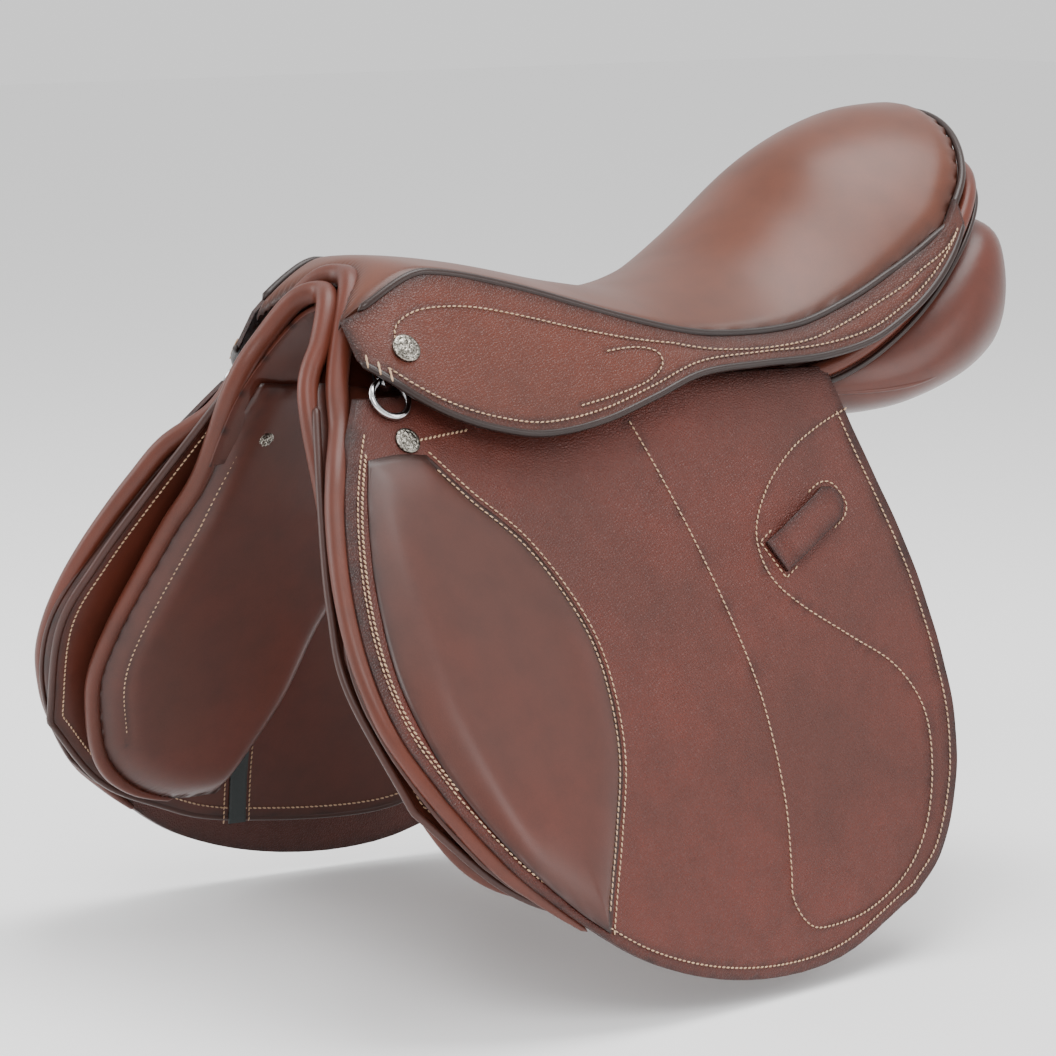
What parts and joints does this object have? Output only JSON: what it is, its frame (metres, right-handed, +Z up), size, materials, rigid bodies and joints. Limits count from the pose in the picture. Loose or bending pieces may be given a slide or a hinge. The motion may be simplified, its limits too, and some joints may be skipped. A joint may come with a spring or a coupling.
{
  "type": "english saddle",
  "caption": "Leather jumping saddle with dished seat, forward flaps, knee pads, lifting skirts, stirrup bars and girth straps.",
  "frame": {"origin": "on the saddle's middle plane, at the level where the panels bear on the back, 61 mm straight below the deepest part of the seat", "axes": "+Z up, -Y to the pommel, +Y to the cantle, +X to the near (left) side"},
  "size_m": [0.4376, 0.5414, 0.4596],
  "materials": {
    "smooth_leather": "smooth calf, soft sheen",
    "grain_leather": "fine printed grain, waxed",
    "panel_leather": "soft calf over wool",
    "bridle_leather": "dense waxed strap",
    "foam": "moulded latex foam",
    "canvas": "tight canvas web",
    "laminate": "laminated beech, varnished",
    "tree_steel": "rolled spring steel",
    "bar_steel": "forged and polished",
    "chrome": "bright plated",
    "nickel": "antique nickel, embossed"
  },
  "bodies": {
    "saddle": {"seat_leather": "smooth_leather", "seat_foam": "foam", "seat_webbing": "canvas", "cantle_facing": "smooth_leather", "tree_shell": "laminate", "head_plate": "tree_steel", "gullet_plate": "tree_steel", "bar_rivets": "bar_steel", "latch_pins": "bar_steel", "skirt_studs": "nickel", "flap_studs": "nickel", "arch_buttons": "nickel", "panel_roll": "panel_leather", "seat_roll": "smooth_leather", "arch_facing": "panel_leather", "dee_staples": "chrome", "tree_spring_left": "tree_steel", "stirrup_bar_left": "bar_steel", "flap_head_left": "grain_leather", "skirt_crown_left": "grain_leather", "sweat_flap_left": "panel_leather", "knee_block_left": "foam", "billet_web_left": "canvas", "panel_left": "panel_leather", "tree_spring_right": "tree_steel", "stirrup_bar_right": "bar_steel", "flap_head_right": "grain_leather", "skirt_crown_right": "grain_leather", "sweat_flap_right": "panel_leather", "knee_block_right": "foam", "billet_web_right": "canvas", "panel_right": "panel_leather"},
    "flap_left": {"flap_left": "grain_leather", "knee_pad_left": "smooth_leather", "keeper_loop_left": "grain_leather"},
    "skirt_left": {"skirt_left": "grain_leather"},
    "bar_latch_left": {"bar_latch_left": "bar_steel"},
    "dee_ring_left": {"dee_ring_left": "chrome"},
    "billet_front_left": {"billet_front_left": "bridle_leather"},
    "billet_middle_left": {"billet_middle_left": "bridle_leather"},
    "billet_rear_left": {"billet_rear_left": "bridle_leather"},
    "flap_right": {"flap_right": "grain_leather", "knee_pad_right": "smooth_leather", "keeper_loop_right": "grain_leather"},
    "skirt_right": {"skirt_right": "grain_leather"},
    "bar_latch_right": {"bar_latch_right": "bar_steel"},
    "dee_ring_right": {"dee_ring_right": "chrome"},
    "billet_front_right": {"billet_front_right": "bridle_leather"},
    "billet_middle_right": {"billet_middle_right": "bridle_leather"},
    "billet_rear_right": {"billet_rear_right": "bridle_leather"}
  },
  "joints": [
    {"name": "flap_lift_left", "type": "hinge", "parent": "saddle", "child": "flap_left", "pos_m": [0.09991, -0.07845, -0.015], "axis": [-0.0935, -0.9956, 0], "range_deg": [0, 80]},
    {"name": "flap_lift_right", "type": "hinge", "parent": "saddle", "child": "flap_right", "pos_m": [-0.09991, -0.07845, -0.015], "axis": [-0.0935, 0.9956, 0], "range_deg": [0, 80]},
    {"name": "skirt_lift_left", "type": "hinge", "parent": "saddle", "child": "skirt_left", "pos_m": [0.09221, -0.06078, 0.036], "axis": [-0.1344, -0.9909, 0], "range_deg": [0, 80]},
    {"name": "skirt_lift_right", "type": "hinge", "parent": "saddle", "child": "skirt_right", "pos_m": [-0.09221, -0.06078, 0.036], "axis": [-0.1344, 0.9909, 0], "range_deg": [0, 80]},
    {"name": "bar_latch_turn_left", "type": "hinge", "parent": "saddle", "child": "bar_latch_left", "pos_m": [0.08687, -0.09148, 0.01428], "axis": [0.86, -0.0846, 0.5032], "range_deg": [0, 80]},
    {"name": "bar_latch_turn_right", "type": "hinge", "parent": "saddle", "child": "bar_latch_right", "pos_m": [-0.08687, -0.09148, 0.01428], "axis": [0.86, 0.0846, -0.5032], "range_deg": [0, 80]},
    {"name": "dee_swing_left", "type": "hinge", "parent": "saddle", "child": "dee_ring_left", "pos_m": [0.06071, -0.20883, 0.02554], "axis": [-0.0577, -0.9983, 0], "range_deg": [0, 16]},
    {"name": "dee_swing_right", "type": "hinge", "parent": "saddle", "child": "dee_ring_right", "pos_m": [-0.06071, -0.20883, 0.02554], "axis": [-0.0577, 0.9983, 0], "range_deg": [0, 16]},
    {"name": "billet_front_swing_left", "type": "hinge", "parent": "saddle", "child": "billet_front_left", "pos_m": [0.09499, -0.03474, -0.038], "axis": [0.8948, -0.0856, 0.4382], "range_deg": [-4, 4]},
    {"name": "billet_front_swing_right", "type": "hinge", "parent": "saddle", "child": "billet_front_right", "pos_m": [-0.09499, -0.03474, -0.038], "axis": [0.8948, 0.0856, -0.4382], "range_deg": [-4, 4]},
    {"name": "billet_middle_swing_left", "type": "hinge", "parent": "saddle", "child": "billet_middle_left", "pos_m": [0.10011, 0.01326, -0.038], "axis": [0.9063, -0.1067, 0.409], "range_deg": [-4, 4]},
    {"name": "billet_middle_swing_right", "type": "hinge", "parent": "saddle", "child": "billet_middle_right", "pos_m": [-0.10011, 0.01326, -0.038], "axis": [0.9063, 0.1067, -0.409], "range_deg": [-4, 4]},
    {"name": "billet_rear_swing_left", "type": "hinge", "parent": "saddle", "child": "billet_rear_left", "pos_m": [0.10629, 0.06126, -0.038], "axis": [0.9167, -0.1281, 0.3785], "range_deg": [-4, 4]},
    {"name": "billet_rear_swing_right", "type": "hinge", "parent": "saddle", "child": "billet_rear_right", "pos_m": [-0.10629, 0.06126, -0.038], "axis": [0.9167, 0.1281, -0.3785], "range_deg": [-4, 4]}
  ]
}
